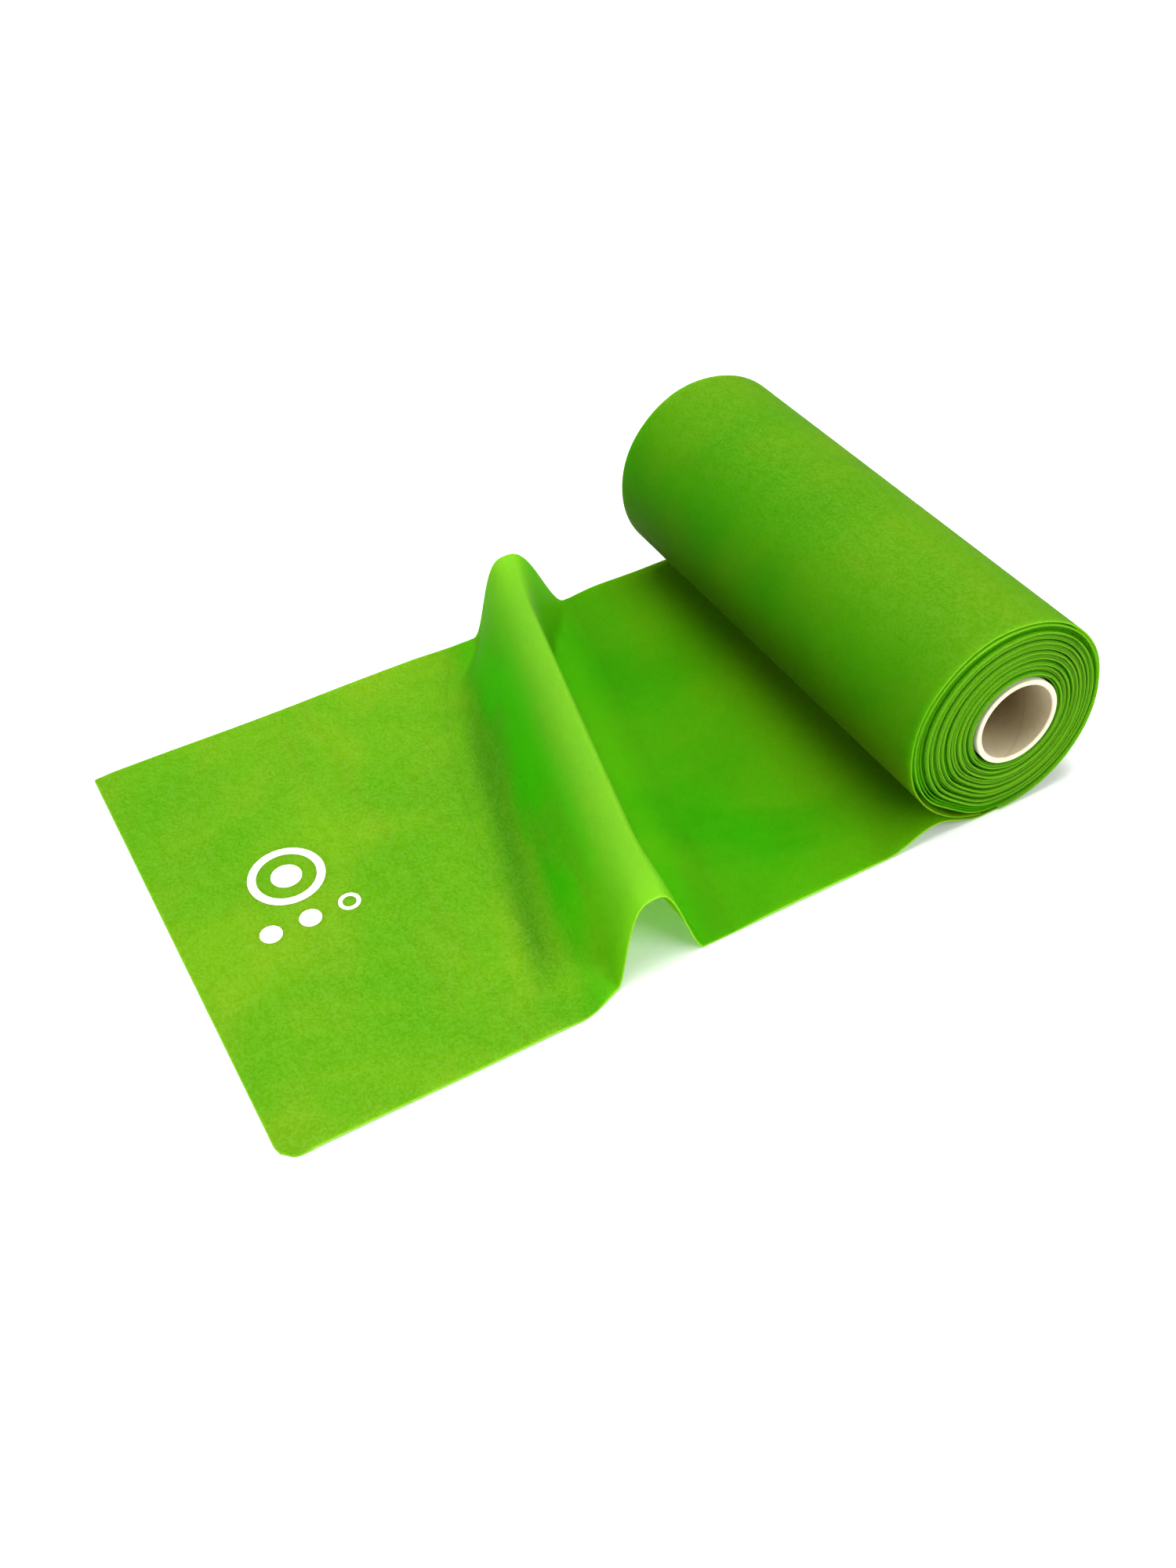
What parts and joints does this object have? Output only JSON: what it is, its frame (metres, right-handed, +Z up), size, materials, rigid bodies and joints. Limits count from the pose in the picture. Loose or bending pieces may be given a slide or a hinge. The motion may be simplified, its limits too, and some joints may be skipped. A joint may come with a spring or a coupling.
{
  "type": "resistance band",
  "caption": "Flat latex resistance band wound on a card core, its free end drawn out flat over a table with one standing ripple.",
  "frame": {"origin": "on the table, under the middle of the object's length and width", "axes": "+X along the roll's axis, -Y the way the free end points, +Z up"},
  "size_m": [0.151, 0.2354, 0.059],
  "materials": {
    "latex": "matte, powdered, slightly translucent green latex",
    "core_card": "matte cream card, spiral wound",
    "tape": "thin translucent adhesive tape",
    "print_ink": "matte white printing ink"
  },
  "bodies": {
    "laid_band": {"tail_panel": "latex", "ripple": "latex"},
    "lead": {"band_lead": "latex", "outer_turn": "latex"},
    "roll": {"core_tube": "core_card", "inner_end_tape": "tape", "wound_turns": "latex"},
    "front": {"front_panel": "latex"},
    "free_end": {"free_end_panel": "latex"},
    "grip": {"grip_end": "latex"}
  },
  "joints": [
    {"name": "roll_travel", "type": "slide", "parent": "laid_band", "child": "lead", "axis": [0, 1, 0], "range_m": [0, 0.12]},
    {"name": "roll_spin", "type": "hinge", "parent": "lead", "child": "roll", "pos_m": [0, 0.08825, 0.0295], "axis": [-1, 0, 0], "range_deg": [0, 236]},
    {"name": "slack_pull", "type": "slide", "parent": "laid_band", "child": "front", "axis": [0, -1, 0], "range_m": [0, 0.027], "deforming": ["ripple"]},
    {"name": "end_lift", "type": "hinge", "parent": "front", "child": "free_end", "pos_m": [0, -0.05395, 0.0004], "axis": [-1, 0, 0], "range_deg": [0, 110]},
    {"name": "end_stretch", "type": "slide", "parent": "free_end", "child": "grip", "axis": [0, -1, 0], "range_m": [0, 0.045], "deforming": ["free_end_panel"]}
  ],
  "couplings": [
    {"joint": "roll_spin", "follows": "roll_travel", "rad_per_m": 33.898}
  ]
}
